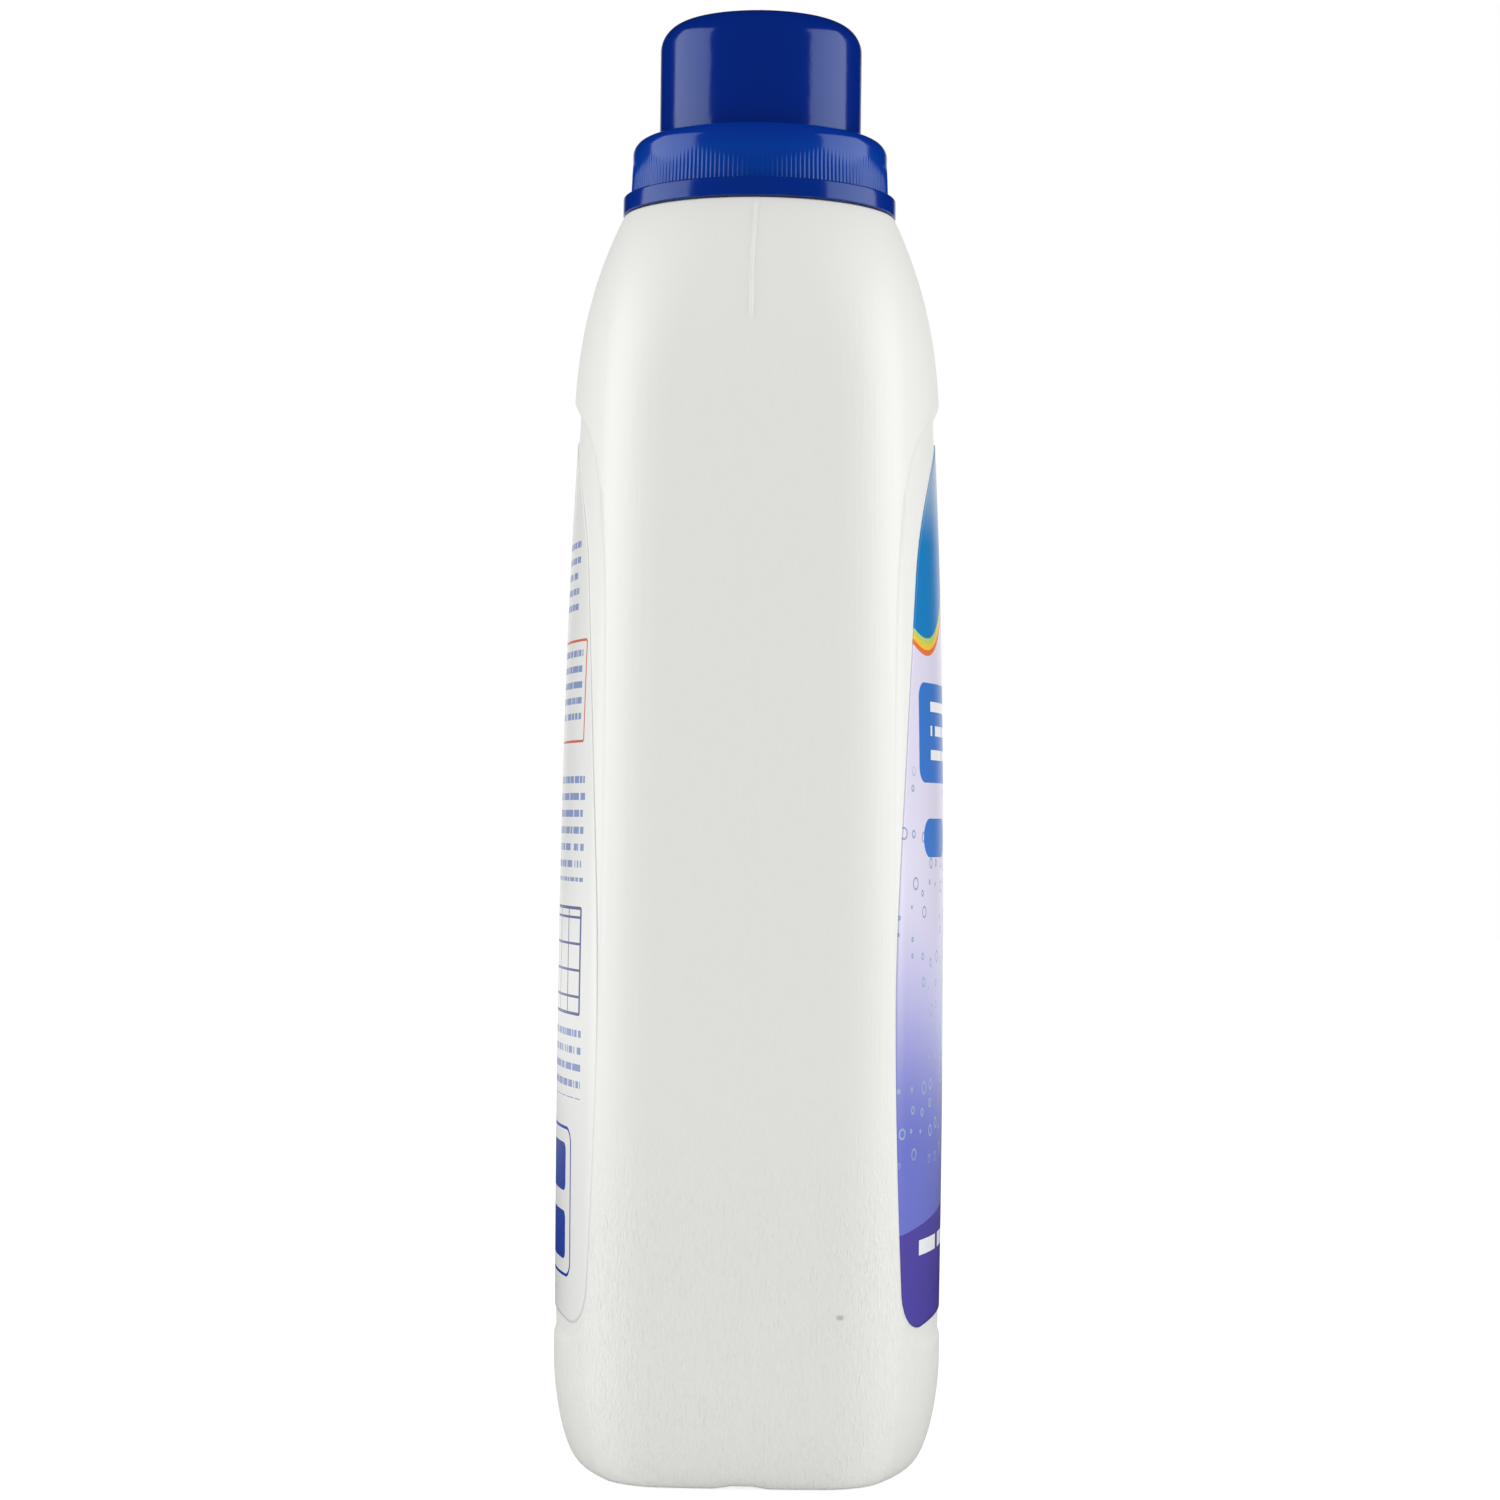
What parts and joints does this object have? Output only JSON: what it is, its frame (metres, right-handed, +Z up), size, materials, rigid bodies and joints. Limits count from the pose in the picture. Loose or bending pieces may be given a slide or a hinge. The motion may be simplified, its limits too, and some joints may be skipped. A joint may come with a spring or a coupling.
{
  "type": "laundry detergent bottle",
  "caption": "Tall blow-moulded bottle with recessed label panels, a pouring fitting in the neck and a ribbed screw cap whose upper part is a dosing cup.",
  "frame": {"origin": "centre of the standing base, on the surface that the bottle stands on", "axes": "+Z up along the neck, -Y out of the front label, +X and -X out of the two mould seams"},
  "size_m": [0.0864, 0.0756, 0.2808],
  "materials": {
    "bottle_white": "semi-matt, faintly streaked",
    "fitting_natural": "smooth, natural",
    "seal_foam": "soft foamed sheet",
    "cap_blue": "glossy, slightly translucent",
    "printed_film": "printed gloss film",
    "clear_film": "clear gloss film with line print"
  },
  "bodies": {
    "bottle_body": {"bottle": "bottle_white", "pour_spout": "fitting_natural", "front_label": "printed_film", "back_label": "clear_film"},
    "seal_body": {"seal_ring": "seal_foam"},
    "cap_body": {"dosing_cap": "cap_blue"}
  },
  "joints": [
    {"name": "cap_lift", "type": "slide", "parent": "bottle_body", "child": "seal_body", "axis": [0, 0, 1], "range_m": [0, 0.036]},
    {"name": "cap_turn", "type": "hinge", "parent": "seal_body", "child": "cap_body", "pos_m": [0, 0, 0.2555], "axis": [0, 0, 1], "range_deg": [0, 2160]}
  ],
  "couplings": [
    {"joint": "cap_lift", "follows": "cap_turn", "m_per_rad": 0.00095493}
  ]
}
